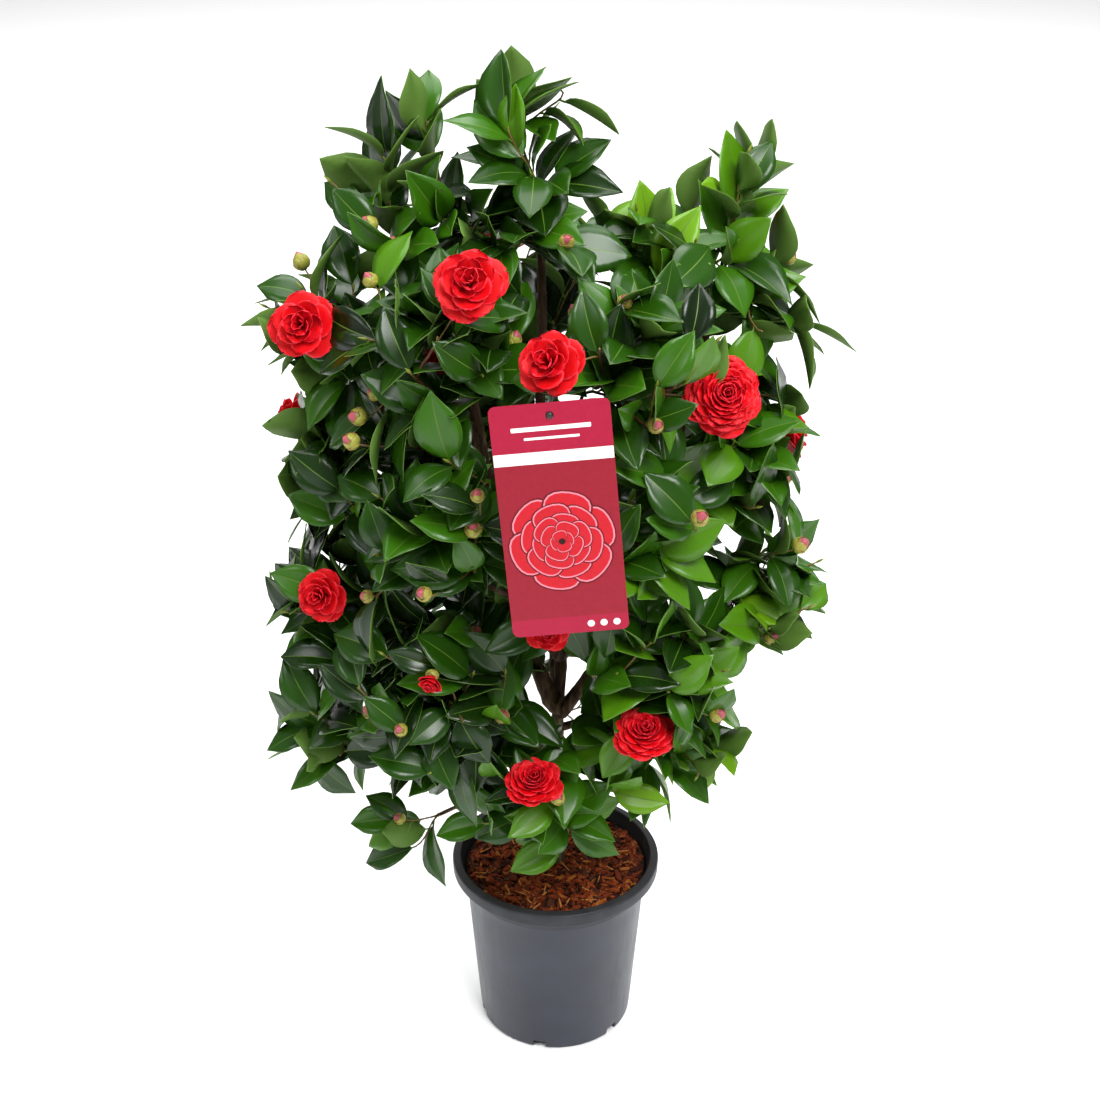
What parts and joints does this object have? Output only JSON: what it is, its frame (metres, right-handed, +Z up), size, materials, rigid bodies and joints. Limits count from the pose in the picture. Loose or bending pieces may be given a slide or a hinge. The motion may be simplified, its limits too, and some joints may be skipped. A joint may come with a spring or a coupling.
{
  "type": "camellia shrub in a nursery pot",
  "caption": "Red-flowering camellia shrub, upright and many-stemmed, in a round dark plastic nursery pot topped with bark chips, with a plain printed plant card.",
  "frame": {"origin": "centre of the pot's flat underside, where the plant stands", "axes": "+Z up the stem, +X to the right seen from the front, -Y towards the front, where the card hangs"},
  "size_m": [0.6701, 0.5711, 1.25],
  "materials": {
    "pot_plastic": "satin",
    "bark_chips": "matte",
    "stem_bark": "matte",
    "foliage": "satin",
    "petals": "matte",
    "buds": "satin",
    "card_print": "satin"
  },
  "bodies": {
    "root": {"pot": "pot_plastic", "soil": "bark_chips", "trunk": "stem_bark", "plant_card": "card_print", "leader": "stem_bark", "bough_left_tall": "stem_bark", "bough_right_tall": "stem_bark", "bough_front_left": "stem_bark", "bough_front_right": "stem_bark", "bough_back_high": "stem_bark", "bough_left_shoulder": "stem_bark", "bough_left_high": "stem_bark", "bough_left_mid": "stem_bark", "bough_left_low": "stem_bark", "bough_left_foot": "stem_bark", "bough_foot_spray": "stem_bark", "bough_right_shoulder": "stem_bark", "bough_right_high": "stem_bark", "bough_right_mid": "stem_bark", "bough_right_low": "stem_bark", "bough_right_foot": "stem_bark", "bough_front_mid_left": "stem_bark", "bough_front_mid_right": "stem_bark", "bough_front_low_left": "stem_bark", "bough_front_low_right": "stem_bark", "bough_front_foot": "stem_bark", "bough_back_left": "stem_bark", "bough_back_right": "stem_bark", "bough_back_low": "stem_bark", "top_centre": "foliage", "top_left": "foliage", "shoulder_left": "foliage", "upper_centre": "foliage", "shoulder_right": "foliage", "top_right": "foliage", "side_right_high": "foliage", "side_left_high": "foliage", "front_high_left": "foliage", "front_high_right": "foliage", "side_left_mid": "foliage", "front_mid_left": "foliage", "front_mid_right": "foliage", "side_right_mid": "foliage", "side_right_low": "foliage", "side_left_low": "foliage", "front_low_left": "foliage", "front_low_right": "foliage", "foot_left": "foliage", "foot_right": "foliage", "foot_front": "foliage", "foot_left_spray": "foliage", "back_high": "foliage", "back_left": "foliage", "back_right": "foliage", "back_low": "foliage"}
  },
  "joints": []
}
